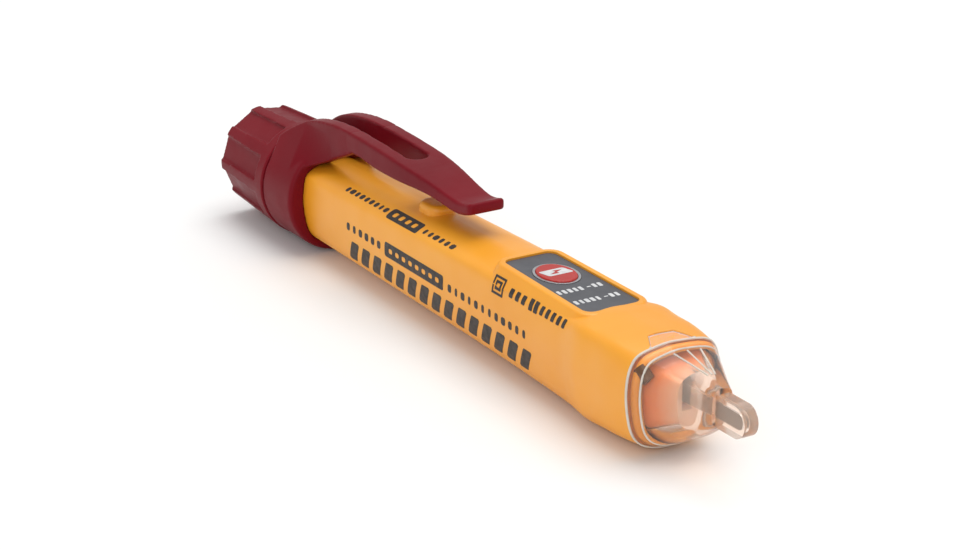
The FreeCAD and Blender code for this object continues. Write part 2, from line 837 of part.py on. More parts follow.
# --- nose ------------------------------------------------------------------------------------
def lens_tab(margin):
    """Tapered tongue of the lens that lies in the top of the housing."""
    floor = nose_section[1] - tab_depth
    half = tab_half_width + margin
    rear = tab_rear - margin
    points = [(rear, -half, floor), (lens_seam, -half - tab_flare, floor),
              (lens_seam, half + tab_flare, floor), (rear, half, floor)]
    prism = extruded(points, V(0, 0, 3 * tab_depth))
    limit = -margin if margin else assembly_gap * 2
    skin = stretch(tab_rear - 2 * past, lens_seam, limit)
    skin = skin.cut(stretch(tab_rear - 3 * past, lens_seam, tab_thickness))
    return largest(prism.common(skin))


def blade_solid(inset, start):
    """Upright plate with a full-round end that reaches into a socket."""
    half = blade_height / 2 - inset
    end = overall_length - inset - half
    y = -blade_thickness / 2 + inset
    width = blade_thickness - 2 * inset
    plate = box((start, y, blade_centre - half), (end, y + width, blade_centre + half))
    nose = Part.makeCylinder(half, width, V(end, y, blade_centre), Y_AXIS)
    return plate.fuse(nose).removeSplitter()


def spigot_inset():
    return head_wall + seal_thickness + assembly_gap


def lens_bore_inset():
    return spigot_inset() + lens_spigot_wall


def make_nose_lens():
    """Clear cover with the probe blade, its spigot and the tongue on top."""
    front = lens_sections[-1][0]
    spigot_rear = lens_seam - lens_spigot_length
    shell = stretch(lens_seam, front)
    spigot = stretch(spigot_rear, lens_seam + lens_wall / 2, spigot_inset())
    shell = shell.fuse([blade_solid(0, blade_root), spigot])
    shell = shell.cut(stretch(spigot_rear - past, lens_cavity_front - lens_wall, lens_bore_inset()))
    shell = shell.cut(antenna_outline(assembly_gap))
    return largest(shell.fuse(lens_tab(0)))


def make_nose_seal():
    """Thin gasket squeezed round the lens spigot."""
    rear = lens_seam - lens_spigot_length
    front = lens_seam - seal_setback
    outer = stretch(rear, front, head_wall + assembly_gap / 2)
    return outer.cut(stretch(rear - past, front + past, spigot_inset() - assembly_gap / 2))


def antenna_outline(margin):
    end = overall_length - antenna_inset + margin
    half_height = antenna_height / 2 + margin
    half = antenna_thickness / 2 + margin
    plate = box((antenna_rear - margin, -half, blade_centre - half_height),
                (end - half_height, half, blade_centre + half_height))
    nose = Part.makeCylinder(half_height, 2 * half, V(end - half_height, -half, blade_centre), Y_AXIS)
    return plate.fuse(nose).removeSplitter()


def make_antenna():
    return antenna_outline(0)


def make_antenna_lead():
    return rod(lead_radius, board_front - lead_overlap, antenna_rear, 0, board_top + lead_radius)


def make_light_diffuser():
    """Frosted inner cone that spreads the indicator light."""
    inset = lens_bore_inset() + diffuser_gap
    front = lens_cavity_front - lens_wall - diffuser_gap
    outer = stretch(lens_seam, front, inset)
    inner = stretch(lens_seam - past, front - diffuser_wall, inset + diffuser_wall)
    wide, tall = diffuser_slit
    slit = box((lens_seam - past, -wide, blade_centre - tall), (overall_length, wide, blade_centre + tall))
    return largest(outer.cut(inner).cut(slit))


def make_seal_ring(extra=0.0):
    """O-ring on the tail, just behind the collar."""
    station = cap_length - seal_counterbore_depth / 2
    centre = seal_counterbore_radius - seal_side_gap - seal_wire_radius
    return Part.makeTorus(centre, seal_wire_radius + extra, V(station, 0, 0), X_AXIS)


def save(node, shape):
    placed = shape.copy()
    placed.translate(V(-overall_length / 2, 0, axis_height))
    placed.exportStep(os.path.join("parts", node + ".step"))
    box_now = placed.BoundBox
    print("%-20s solids %d valid %s volume %.2f  x %.1f..%.1f y %.1f..%.1f z %.1f..%.1f" % (
        node, len(placed.Solids), placed.isValid(), placed.Volume, box_now.XMin, box_now.XMax,
        box_now.YMin, box_now.YMax, box_now.ZMin, box_now.ZMax))


def build():
    os.makedirs("parts", exist_ok=True)
    save("battery_cap", make_battery_cap())
    save("contact_carrier", make_contact_carrier())
    save("cap_contact_plate", make_cap_contact_plate())
    save("cap_spring", make_cap_spring())
    save("cap_seal", make_seal_ring())
    save("battery_rear", make_cell(cells_start))
    save("battery_front", make_cell(cells_start + cell_length))
    save("battery_chassis", make_battery_chassis())
    save("front_contact", make_front_contact())
    save("contact_strip", make_contact_strip())
    save("clip_collar", make_clip_collar())
    save("pocket_clip", make_pocket_clip())
    save("housing", make_housing())
    save("keypad_panel", make_keypad_panel())
    save("button_ring", make_button_ring())
    save("power_button", make_power_button())
    save("circuit_board", make_circuit_board())
    save("switch_body", make_switch_body())
    save("switch_plunger", make_switch_plunger())
    save("buzzer", make_buzzer())
    save("controller_chip", chip(controller_station, controller_length, controller_width, controller_height))
    save("amplifier_chip", chip(amplifier_station, amplifier_side, amplifier_side, amplifier_height))
    save("bulk_capacitor", make_bulk_capacitor())
    for index in range(resistor_count):
        save("resistor_%d" % (index + 1), make_resistor(index))
    save("led_red", make_led(-1))
    save("led_green", make_led(1))
    save("antenna_plate", make_antenna())
    save("antenna_lead", make_antenna_lead())
    save("light_diffuser", make_light_diffuser())
    save("nose_seal", make_nose_seal())
    save("nose_lens", make_nose_lens())


build()
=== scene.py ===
# Non-contact voltage tester: finishes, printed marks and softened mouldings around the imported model
import json
import math

import bmesh
import bpy
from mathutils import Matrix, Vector
from mathutils.bvhtree import BVHTree

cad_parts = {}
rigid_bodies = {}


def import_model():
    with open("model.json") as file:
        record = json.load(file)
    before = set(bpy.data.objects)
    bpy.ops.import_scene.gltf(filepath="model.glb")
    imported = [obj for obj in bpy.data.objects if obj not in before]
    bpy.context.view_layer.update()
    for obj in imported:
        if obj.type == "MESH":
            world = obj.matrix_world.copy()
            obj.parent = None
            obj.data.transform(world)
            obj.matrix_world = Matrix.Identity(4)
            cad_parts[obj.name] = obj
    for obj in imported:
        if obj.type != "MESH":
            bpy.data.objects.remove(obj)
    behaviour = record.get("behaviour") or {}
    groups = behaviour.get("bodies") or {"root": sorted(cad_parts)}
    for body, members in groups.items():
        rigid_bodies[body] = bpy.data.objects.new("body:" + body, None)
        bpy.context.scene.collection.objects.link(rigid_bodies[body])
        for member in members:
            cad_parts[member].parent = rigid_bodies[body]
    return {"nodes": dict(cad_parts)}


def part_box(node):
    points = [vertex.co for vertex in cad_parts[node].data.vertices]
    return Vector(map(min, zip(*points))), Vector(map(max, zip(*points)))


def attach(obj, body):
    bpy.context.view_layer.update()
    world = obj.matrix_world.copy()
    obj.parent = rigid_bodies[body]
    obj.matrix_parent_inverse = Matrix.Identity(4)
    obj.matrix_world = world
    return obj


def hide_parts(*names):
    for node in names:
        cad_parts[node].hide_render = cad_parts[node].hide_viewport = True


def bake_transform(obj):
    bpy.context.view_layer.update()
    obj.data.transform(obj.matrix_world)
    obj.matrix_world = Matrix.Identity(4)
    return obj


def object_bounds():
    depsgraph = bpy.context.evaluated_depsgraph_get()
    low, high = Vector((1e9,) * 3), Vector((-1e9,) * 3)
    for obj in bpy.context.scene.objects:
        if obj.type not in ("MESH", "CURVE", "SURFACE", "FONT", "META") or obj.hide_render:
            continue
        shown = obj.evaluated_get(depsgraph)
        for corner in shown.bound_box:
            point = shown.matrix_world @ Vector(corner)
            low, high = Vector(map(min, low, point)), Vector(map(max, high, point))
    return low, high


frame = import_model()
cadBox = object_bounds()
mm = 0.001

capLow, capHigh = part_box("battery_cap")
rearEnd = capLow.x                                    # the flat end of the battery cap
axisHeight = (capLow.z + capHigh.z) / 2               # the long axis above the floor
middle = (cadBox[0] + cadBox[1]) / 2


def onTester(station, across, height):  # mm from the cap's end, mm sideways, mm above the long axis
    return Vector((rearEnd + station * mm, across * mm, axisHeight + height * mm))


# materials: each takes its colours as sRGB hex and its sizes in mm

def linear(hexCode):
    parts = [int(hexCode[i:i + 2], 16) / 255 for i in (0, 2, 4)]
    return [p / 12.92 if p <= 0.04045 else ((p + 0.055) / 1.055) ** 2.4 for p in parts] + [1.0]


def addNode(tree, kind, inputs=None, **settings):  # a node with its settings, its values and its links
    made = tree.nodes.new(kind)
    for name, value in settings.items():
        setattr(made, name, value)
    for name, value in (inputs or {}).items():
        if isinstance(value, bpy.types.NodeSocket):
            tree.links.new(value, made.inputs[name])
        else:
            made.inputs[name].default_value = value
    return made


def newMaterial(name, shaderValues):
    material = bpy.data.materials.new(name)
    material.use_nodes = True
    shader = material.node_tree.nodes["Principled BSDF"]
    for socket, value in shaderValues.items():
        shader.inputs[socket].default_value = value
    return material, material.node_tree, shader


def mixedColour(tree, share, low, high):  # from one sRGB hex colour to another; either may be a socket
    ends = [end if isinstance(end, bpy.types.NodeSocket) else linear(end) for end in (low, high)]
    return addNode(tree, "ShaderNodeMix", {0: share, 6: ends[0], 7: ends[1]}, data_type="RGBA").outputs[2]


def finish(name, look, **shaderValues):
    # a slow drift of colour, a fine texture, a patchy gloss and edges that catch the light
    material, tree, shader = newMaterial(name, shaderValues)
    place = addNode(tree, "ShaderNodeTexCoord").outputs["Object"]
    stretch = look.get("pull", (1, 1, 1))
    pulled = addNode(tree, "ShaderNodeMapping", {"Vector": place, "Scale": stretch}).outputs[0]
    drift = addNode(tree, "ShaderNodeTexNoise",
                    {"Vector": place, "Scale": 1 / (look["driftSize"] * mm), "Detail": 3.0})
    share = addNode(tree, "ShaderNodeMapRange",
                    {"Value": drift.outputs[0], "From Min": 0.35, "From Max": 0.65})
    colour = mixedColour(tree, share.outputs[0], look["base"], look["drift"])
    gloss = addNode(tree, "ShaderNodeTexNoise",
                    {"Vector": pulled, "Scale": 1 / (look["glossSize"] * mm), "Detail": 4.0})
    rough = addNode(tree, "ShaderNodeMapRange",
                    {"Value": gloss.outputs[0], "From Min": 0.3, "From Max": 0.7,
                     "To Min": look["roughness"][0], "To Max": look["roughness"][1]})
    grain = addNode(tree, "ShaderNodeTexNoise",
                    {"Vector": pulled, "Scale": 1 / (look["grainSize"] * mm), "Detail": 2.0})
    bumpInputs = {"Height": grain.outputs[0], "Strength": 1.0, "Distance": look["grainDepth"] * mm}
    if "edge" in look:
        rounding = addNode(tree, "ShaderNodeBevel", {"Radius": look["edge"] * mm}, samples=6)
        bumpInputs["Normal"] = rounding.outputs[0]
    bump = addNode(tree, "ShaderNodeBump", bumpInputs)
    tree.links.new(colour, shader.inputs["Base Color"])
    tree.links.new(rough.outputs[0], shader.inputs["Roughness"])
    tree.links.new(bump.outputs[0], shader.inputs["Normal"])
    return material


# ABS, injection moulded: satin with a fine spark-eroded texture, so highlights are broad and soft
mouldedAbs = finish("mouldedAbsYellow",
                    dict(base="F5A623", drift="F09E1E", driftSize=24, grainSize=0.35, grainDepth=0.006,
                         glossSize=6, roughness=(0.34, 0.46), edge=0.25),
                    **{"IOR": 1.54, "Coat Weight": 0.12, "Coat Roughness": 0.25,
                       "Subsurface Weight": 0.06, "Subsurface Radius": (0.004, 0.002, 0.0006),
                       "Subsurface Scale": 0.5})
# nylon, injection moulded: deep red-brown, its sheen turns pinkish grey where it faces the sky
mouldedNylon = finish("mouldedNylonMaroon",
                      dict(base="77101D", drift="6E0E1A", driftSize=18, grainSize=0.4, grainDepth=0.009,
                           glossSize=4, roughness=(0.34, 0.46), edge=0.25),
                      **{"IOR": 1.53, "Specular IOR Level": 0.1})
# ABS, injection moulded black: hidden frames and carriers, dull
mouldedBlack = finish("mouldedAbsBlack",
                      dict(base="1D1D1F", drift="242427", driftSize=12, grainSize=0.5, grainDepth=0.008,
                           glossSize=3, roughness=(0.45, 0.6), edge=0.15), **{"IOR": 1.54})
# thermoplastic elastomer pad: matt dark grey with a fine eggshell texture
padElastomer = finish("mouldedElastomerGrey",
                      dict(base="54555A", drift="4D4E53", driftSize=8, grainSize=0.3, grainDepth=0.01,
                           glossSize=2, roughness=(0.5, 0.62), edge=0.12), **{"IOR": 1.5})
# silicone rubber key: warm red, soft gloss on its crown
keyRubber = finish("mouldedSiliconeRed",
                   dict(base="B8271F", drift="AE231C", driftSize=5, grainSize=0.3, grainDepth=0.006,
                        glossSize=2, roughness=(0.32, 0.42), edge=0.2), **{"IOR": 1.43, "Coat Weight": 0.15})
# nitrile rubber, compression moulded: near black, dusty bloom
sealRubber = finish("mouldedNitrileBlack",
                    dict(base="161617", drift="222224", driftSize=2.5, grainSize=0.25, grainDepth=0.01,
                         glossSize=1.5, roughness=(0.55, 0.75)), **{"IOR": 1.52})
# translucent silicone, compression moulded, for the seal; the same pale colour paints highlights: the pale
# line where the window meets the housing and the lines of its crease, ribs and tongue edge
sealSiliconeAndPaintedHighlight = finish("siliconeSealAndPaintedHighlight",
                      dict(base="DAD3C9", drift="CFC7BC", driftSize=3, grainSize=0.25, grainDepth=0.005,
                           glossSize=1.5, roughness=(0.3, 0.45)),
                      **{"IOR": 1.42, "Subsurface Weight": 0.3, "Subsurface Radius": (0.001, 0.0008, 0.0006),
                         "Subsurface Scale": 0.5})
# vacuum-metallised ring: brushed silver with a slight grain round the oval
platedSilver = finish("metallisedRingSilver",
                      dict(base="C9CACD", drift="B4B6BA", driftSize=1.5, grainSize=0.12, grainDepth=0.003,
                           glossSize=1, roughness=(0.24, 0.38), edge=0.1), **{"Metallic": 1.0})
# nickel-plated spring steel: bright, drawn along its length
platedNickel = finish("nickelPlatedSteel",
                      dict(base="C8C2B4", drift="B3AC9C", driftSize=4, grainSize=0.15, grainDepth=0.003,
                           glossSize=1.5, roughness=(0.18, 0.34), pull=(0.15, 1, 1)), **{"Metallic": 1.0})
# stainless switch cover: dull rolled sheet
rolledSteel = finish("rolledStainlessSteel",
                     dict(base="A9A9A6", drift="9B9B98", driftSize=3, grainSize=0.2, grainDepth=0.004,
                          glossSize=1.5, roughness=(0.3, 0.45), pull=(0.1, 1, 1), edge=0.1),
                     **{"Metallic": 1.0})
# aluminium can, drawn: pale with a fine lengthwise line
drawnAluminium = finish("drawnAluminiumCan",
                        dict(base="C4C6C8", drift="B2B4B7", driftSize=2, grainSize=0.15, grainDepth=0.003,
                             glossSize=1, roughness=(0.25, 0.4), pull=(1, 1, 0.15), edge=0.15),
                        **{"Metallic": 1.0})
# tinned brass strip, stamped: dull warm grey
tinnedBrass = finish("tinnedBrassStrip",
                     dict(base="746C66", drift="686058", driftSize=3, grainSize=0.3, grainDepth=0.004,
                          glossSize=1, roughness=(0.42, 0.6)), **{"Metallic": 0.6})
# epoxy package, transfer moulded: charcoal with a sandy surface
epoxyPackage = finish("mouldedEpoxyCharcoal",
                      dict(base="26272A", drift="2F3034", driftSize=1.2, grainSize=0.12, grainDepth=0.01,
                           glossSize=0.8, roughness=(0.5, 0.7), edge=0.08), **{"IOR": 1.55})
# tinted epoxy lamps: clear enough to show the depth of their domes
lampRed = finish("castEpoxyRed",
                 dict(base="E03A2C", drift="C92A20", driftSize=1.5, grainSize=0.4, grainDepth=0.002,
                      glossSize=1, roughness=(0.06, 0.14)), **{"IOR": 1.54, "Transmission Weight": 0.55})
lampGreen = finish("castEpoxyGreen",
                   dict(base="4FC36A", drift="3BAE58", driftSize=1.5, grainSize=0.4, grainDepth=0.002,
                        glossSize=1, roughness=(0.06, 0.14)), **{"IOR": 1.54, "Transmission Weight": 0.55})
# pad-printed inks: a matt film that thins slightly in its middle
inkBlack = finish("padPrintInkBlack",
                  dict(base="241F1E", drift="37302C", driftSize=1.2, grainSize=0.2, grainDepth=0.004,
                       glossSize=1, roughness=(0.45, 0.6)))
inkWhite = finish("padPrintInkWhite",
                  dict(base="DADADA", drift="C6C7C9", driftSize=1.0, grainSize=0.2, grainDepth=0.004,
                       glossSize=1, roughness=(0.45, 0.6)))
print("moulded, metal and ink finishes made")


def boardFinish(look):  # green solder mask, printed over copper tracks: tracks show as paler raised lines
    material, tree, shader = newMaterial("solderMaskGreen",
                                         {"IOR": 1.5, "Coat Weight": 0.4, "Coat Roughness": 0.15})
    place = addNode(tree, "ShaderNodeTexCoord").outputs["Object"]
    tracks = addNode(tree, "ShaderNodeTexBrick",
                     {"Vector": place, "Scale": 1.0 / mm, "Brick Width": look["trackLength"],
                      "Row Height": look["trackPitch"], "Mortar Size": look["trackGap"], "Mortar Smooth": 0.1,
                      "Color1": (0, 0, 0, 1), "Color2": (0.25, 0.25, 0.25, 1), "Mortar": (1, 1, 1, 1)})
    colour = mixedColour(tree, tracks.outputs[0], look["mask"], look["track"])
    bump = addNode(tree, "ShaderNodeBump", {"Height": tracks.outputs[0], "Distance": look["trackDepth"] * mm})
    weave = addNode(tree, "ShaderNodeTexNoise", {"Vector": place, "Scale": 1 / (look["weave"] * mm)})
    rough = addNode(tree, "ShaderNodeMapRange",
                    {"Value": weave.outputs[0],
                     "To Min": look["roughness"][0], "To Max": look["roughness"][1]})
    tree.links.new(colour, shader.inputs["Base Color"])
    tree.links.new(rough.outputs[0], shader.inputs["Roughness"])
    tree.links.new(bump.outputs[0], shader.inputs["Normal"])
    return material


def sleeveFinish(name, low, high, look):  # printed shrink sleeve: dark body, bright band at the positive end
    material, tree, shader = newMaterial(name, {"IOR": 1.5, "Coat Weight": 0.3, "Coat Roughness": 0.12})
    place = addNode(tree, "ShaderNodeTexCoord").outputs["Object"]
    along = addNode(tree, "ShaderNodeSeparateXYZ", {"Vector": place}).outputs[0]
    bandStart = high.x - look["band"] * mm
    inBand = addNode(tree, "ShaderNodeMath", {0: along, 1: bandStart}, operation="GREATER_THAN").outputs[0]
    capStart = high.x - look["bare"] * mm
    onCap = addNode(tree, "ShaderNodeMath", {0: along, 1: capStart}, operation="GREATER_THAN").outputs[0]
    baseEnd = low.x + look["bare"] * mm
    onBase = addNode(tree, "ShaderNodeMath", {0: along, 1: baseEnd}, operation="LESS_THAN").outputs[0]
    bare = addNode(tree, "ShaderNodeMath", {0: onCap, 1: onBase}, operation="MAXIMUM").outputs[0]
    sleeve = mixedColour(tree, inBand, look["sleeve"], look["bright"])
    colour = mixedColour(tree, bare, sleeve, look["steel"])
    scuff = addNode(tree, "ShaderNodeTexNoise",
                    {"Vector": place, "Scale": 1 / (look["scuff"] * mm), "Detail": 5.0})
    rough = addNode(tree, "ShaderNodeMapRange",
                    {"Value": scuff.outputs[0],
                     "To Min": look["roughness"][0], "To Max": look["roughness"][1]})
    tree.links.new(bare, shader.inputs["Metallic"])
    tree.links.new(colour, shader.inputs["Base Color"])
    tree.links.new(rough.outputs[0], shader.inputs["Roughness"])
    return material


def windowFinish(look):
    # polycarbonate, polished outside and fine-frosted towards the tip: clear dome, milky blade, and
    # lamps shine in; its IOR is set low, since the full one fills the thick nose with dark reflections
    material, tree, shader = newMaterial("mouldedPolycarbonateClear", {"IOR": look["ior"]})
    place = addNode(tree, "ShaderNodeTexCoord").outputs["Object"]
    along = addNode(tree, "ShaderNodeSeparateXYZ", {"Vector": place}).outputs[0]
    frost = addNode(tree, "ShaderNodeMapRange",
                    {"Value": along, "From Min": rearEnd + look["clearTo"] * mm,
                     "From Max": rearEnd + look["frostFrom"] * mm})
    rough = addNode(tree, "ShaderNodeMapRange",
                    {"Value": frost.outputs[0],
                     "To Min": look["roughness"][0], "To Max": look["roughness"][1]})
    passes = addNode(tree, "ShaderNodeMapRange",
                     {"Value": frost.outputs[0],
                      "To Min": look["clearness"][0], "To Max": look["clearness"][1]})
    flow = addNode(tree, "ShaderNodeTexNoise",
                   {"Vector": place, "Scale": 1 / (look["flowSize"] * mm), "Detail": 2.0})
    colour = mixedColour(tree, flow.outputs[0], look["base"], look["drift"])
    bump = addNode(tree, "ShaderNodeBump", {"Height": flow.outputs[0], "Distance": look["flowDepth"] * mm})
    tree.links.new(colour, shader.inputs["Base Color"])
    tree.links.new(rough.outputs[0], shader.inputs["Roughness"])
    tree.links.new(passes.outputs[0], shader.inputs["Transmission Weight"])
    tree.links.new(bump.outputs[0], shader.inputs["Normal"])
    clear = addNode(tree, "ShaderNodeBsdfTransparent", {"Color": linear(look["base"])})
    shadow = addNode(tree, "ShaderNodeLightPath").outputs["Is Shadow Ray"]
    mix = addNode(tree, "ShaderNodeMixShader", {0: shadow, 1: shader.outputs[0], 2: clear.outputs[0]})
    tree.links.new(mix.outputs[0], tree.nodes["Material Output"].inputs["Surface"])
    return material


def guideFinish(look):
    # acrylic light guide, frosted and tinted amber: orange at its root, milky towards the tip
    material, tree, shader = newMaterial("frostedAcrylicAmber",
                                         {"IOR": 1.49, "Transmission Weight": 0.15,
                                          "Subsurface Weight": 0.3, "Subsurface Scale": 0.5,
                                          "Subsurface Radius": (0.003, 0.0015, 0.0006)})
    place = addNode(tree, "ShaderNodeTexCoord").outputs["Object"]
    along = addNode(tree, "ShaderNodeSeparateXYZ", {"Vector": place}).outputs[0]
    wander = addNode(tree, "ShaderNodeTexNoise", {"Vector": place, "Scale": 1 / (look["wanderSize"] * mm)})
    shift = addNode(tree, "ShaderNodeMath",
                    {0: wander.outputs[0], 1: look["wander"] * mm}, operation="MULTIPLY")
    moved = addNode(tree, "ShaderNodeMath", {0: along, 1: shift.outputs[0]}, operation="ADD")
    milk = addNode(tree, "ShaderNodeMapRange",
                   {"Value": moved.outputs[0], "From Min": rearEnd + look["amberTo"] * mm,
                    "From Max": rearEnd + look["milkFrom"] * mm})
    colour = mixedColour(tree, milk.outputs[0], look["amber"], look["milk"])
    grain = addNode(tree, "ShaderNodeTexNoise", {"Vector": place, "Scale": 1 / (look["grain"] * mm)})
    rough = addNode(tree, "ShaderNodeMapRange",
                    {"Value": grain.outputs[0],
                     "To Min": look["roughness"][0], "To Max": look["roughness"][1]})
    bump = addNode(tree, "ShaderNodeBump", {"Height": grain.outputs[0], "Distance": look["grainDepth"] * mm})
    tree.links.new(colour, shader.inputs["Base Color"])
    tree.links.new(rough.outputs[0], shader.inputs["Roughness"])
    tree.links.new(bump.outputs[0], shader.inputs["Normal"])
    return material


guideLook = dict(amber="F58C22", milk="F3D3B8", amberTo=140.5, milkFrom=144.5, wander=1.2, wanderSize=4.0,
                 grain=0.5, grainDepth=0.01, roughness=(0.35, 0.5))
windowLook = dict(base="FFF1E6", drift="FBE8DA", clearTo=141.0, frostFrom=148.0, roughness=(0.06, 0.14),
                  clearness=(0.93, 0.86), flowSize=5.0, flowDepth=0.02, ior=1.3)
boardLook = dict(mask="1F6B3C", track="3C8E55", trackLength=5.0, trackPitch=0.8, trackGap=0.12,
                 trackDepth=0.03, weave=0.6, roughness=(0.2, 0.45))
sleeveLook = dict(sleeve="2B2E33", bright="C98A3A", steel="C3C3BF", band=10.5, bare=1.2, scuff=2.0,
                  roughness=(0.15, 0.4))

slotFinish = {
    "body_yellow": mouldedAbs, "clip_maroon": mouldedNylon, "lens_clear": windowFinish(windowLook),
    "diffuser_amber": guideFinish(guideLook), "panel_grey": padElastomer, "button_red": keyRubber,
    "ring_silver": platedSilver, "inner_black": mouldedBlack, "switch_metal": rolledSteel,
    "contact_nickel": platedNickel, "seal_rubber": sealRubber, "seal_silicone": sealSiliconeAndPaintedHighlight,
    "board_green": boardFinish(boardLook),
    "chip_black": epoxyPackage, "capacitor_can": drawnAluminium, "led_red": lampRed, "led_green": lampGreen,
    "antenna_tin": tinnedBrass,
}
for nodeName, nodeObject in frame["nodes"].items():
    for place in nodeObject.material_slots:
        if nodeName.startswith("battery_") and place.material.name.startswith("cell_wrap"):
            place.material = sleeveFinish(nodeName + "Sleeve", *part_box(nodeName), sleeveLook)
        else:
            place.material = slotFinish[place.material.name.split(".")[0]]
print("finishes laid on the CAD nodes")


# shapes

def newPiece(name, mesh, material, body):  # a finished mesh, shaded smooth, riding on its body
    mesh.name = name
    mesh.materials.clear()
    mesh.materials.append(material)
    piece = bpy.data.objects.new(name, mesh)
    bpy.context.scene.collection.objects.link(piece)
    if body:
        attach(piece, body)
    return piece


def settled(thing):  # the plain mesh that an object with modifiers comes to; the object goes away
    bpy.context.scene.collection.objects.link(thing)
    graph = bpy.context.evaluated_depsgraph_get()
    mesh = bpy.data.meshes.new_from_object(thing.evaluated_get(graph))
    source = thing.data
    bpy.data.objects.remove(thing)
    bpy.data.batch_remove([source])
    return mesh


def addBox(shape, low, high):
    corners = [shape.verts.new((x, y, z))
               for x in (low.x, high.x) for y in (low.y, high.y) for z in (low.z, high.z)]
    for face in ((0, 1, 3, 2), (4, 6, 7, 5), (0, 4, 5, 1), (2, 3, 7, 6), (0, 2, 6, 4), (1, 5, 7, 3)):
        shape.faces.new([corners[i] for i in face])


def softened(nodeNames, look, fillers=()):
    # the CAD shapes run together on a fine grid and relaxed, so every edge has the small radius of a moulding
    shape = bmesh.new()
    for nodeName in nodeNames:
        shape.from_mesh(frame["nodes"][nodeName].data)
    bmesh.ops.remove_doubles(shape, verts=shape.verts, dist=0.001 * mm)
    for low, high in fillers:
        addBox(shape, low, high)
    bmesh.ops.scale(shape, vec=Vector((1, 1, 1)) / mm, verts=shape.verts)
    mesh = bpy.data.meshes.new("mould")
    shape.to_mesh(mesh)
    shape.free()
    thing = bpy.data.objects.new("mould", mesh)
    thing.modifiers.new("grid", "REMESH")
    thing.modifiers["grid"].mode = "VOXEL"
    thing.modifiers["grid"].voxel_size = look["grid"]
    thing.modifiers["grid"].use_smooth_shade = True
    relax = thing.modifiers.new("relax", "SMOOTH")
    relax.factor = 0.5
    relax.iterations = look["relax"]
    result = settled(thing)
    for vertex in result.vertices:
        vertex.co *= mm
    return result


# the clip and its collar are one moulding; webs fill the corner where the arm leaves the collar
clipLook = dict(grid=0.26, relax=4, bendStart=38.5, bendEnd=47.5,
                webFrom=40.8, webTo=46.4, webIn=2.5, webOut=4.87, webLow=12.76, webHigh=16.46)
webs = []
for low, high in ((-clipLook["webOut"], -clipLook["webIn"]), (clipLook["webIn"], clipLook["webOut"])):
    webs.append((onTester(clipLook["webFrom"], low, clipLook["webLow"]),
                 onTester(clipLook["webTo"], high, clipLook["webHigh"])))
clipMesh = softened(["clip_collar", "pocket_clip"], clipLook, webs)
clip = newPiece("clipMoulding", clipMesh, mouldedNylon, None)
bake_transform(clip)
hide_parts("clip_collar", "pocket_clip")
print("clip moulding:", len(clipMesh.polygons), "faces")

capLook = dict(grid=0.22, relax=3)
cap = newPiece("capMoulding", softened(["battery_cap"], capLook), mouldedNylon, "cap_shell")
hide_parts("battery_cap")
print("battery cap:", len(cap.data.polygons), "faces")


# printed marks: flat artwork in mm, cut into small cells, wrapped onto the surface, thick as a film

def wrapped(name, art, surface, centre, along, facing, ink, body, look):
    across = facing.cross(along).normalized()
    facing = along.cross(across).normalized()
    tree = BVHTree.FromObject(frame["nodes"][surface], bpy.context.evaluated_depsgraph_get())
    shape = bmesh.new()
    shape.from_mesh(art)
    bmesh.ops.remove_doubles(shape, verts=shape.verts, dist=0.002)
    for axis, cell in ((0, look["cellLong"]), (1, look["cellWide"])):
        values = [vertex.co[axis] for vertex in shape.verts]
        low, high = min(values), max(values)
        for step in range(1, int((high - low) / cell) + 1):
            where = Vector((0, 0, 0))
            where[axis] = low + step * cell
            facingCut = Vector((1, 0, 0)) if axis == 0 else Vector((0, 1, 0))
            parts = shape.verts[:] + shape.edges[:] + shape.faces[:]
            bmesh.ops.bisect_plane(shape, geom=parts, plane_co=where, plane_no=facingCut)
    for vertex in shape.verts:
        start = centre + (along * vertex.co.x + across * vertex.co.y + facing * look["reach"]) * mm
        hit = tree.ray_cast(start, -facing)[0]
        vertex.co = (hit if hit else start - facing * look["reach"] * mm) + facing * look["lift"] * mm
    bottom = shape.faces[:]
    grown = bmesh.ops.extrude_face_region(shape, geom=bottom, use_keep_orig=True)["geom"]
    for vertex in grown:
        if isinstance(vertex, bmesh.types.BMVert):
            vertex.co += facing * look["film"] * mm
    bmesh.ops.recalc_face_normals(shape, faces=shape.faces)
    mesh = bpy.data.meshes.new(name)
    shape.to_mesh(mesh)
    shape.free()
    bpy.data.meshes.remove(art)
    return newPiece(name, mesh, ink, body)


def filled(loops):  # closed outlines in mm to flat faces; an outline inside another is a hole
    curve = bpy.data.curves.new("artwork", "CURVE")
    curve.dimensions = "2D"
    curve.fill_mode = "FRONT"
    for loop in loops:
        spline = curve.splines.new("POLY")
        spline.points.add(len(loop) - 1)
        for point, (x, y) in zip(spline.points, loop):
            point.co = (x, y, 0, 1)
        spline.use_cyclic_u = True
    return settled(bpy.data.objects.new("artwork", curve))


def roundedBar(x, y, width, height, corner, slant=0.0, turns=5):
    loop = []
    for index, (sx, sy) in enumerate(((1, 1), (-1, 1), (-1, -1), (1, -1))):
        for step in range(turns + 1):
            angle = math.radians(90 * index + 90 * step / turns)
            px = sx * (width / 2 - corner) + corner * math.cos(angle)
            py = sy * (height / 2 - corner) + corner * math.sin(angle)
            loop.append((x + px + slant * py, y + py))
    return loop


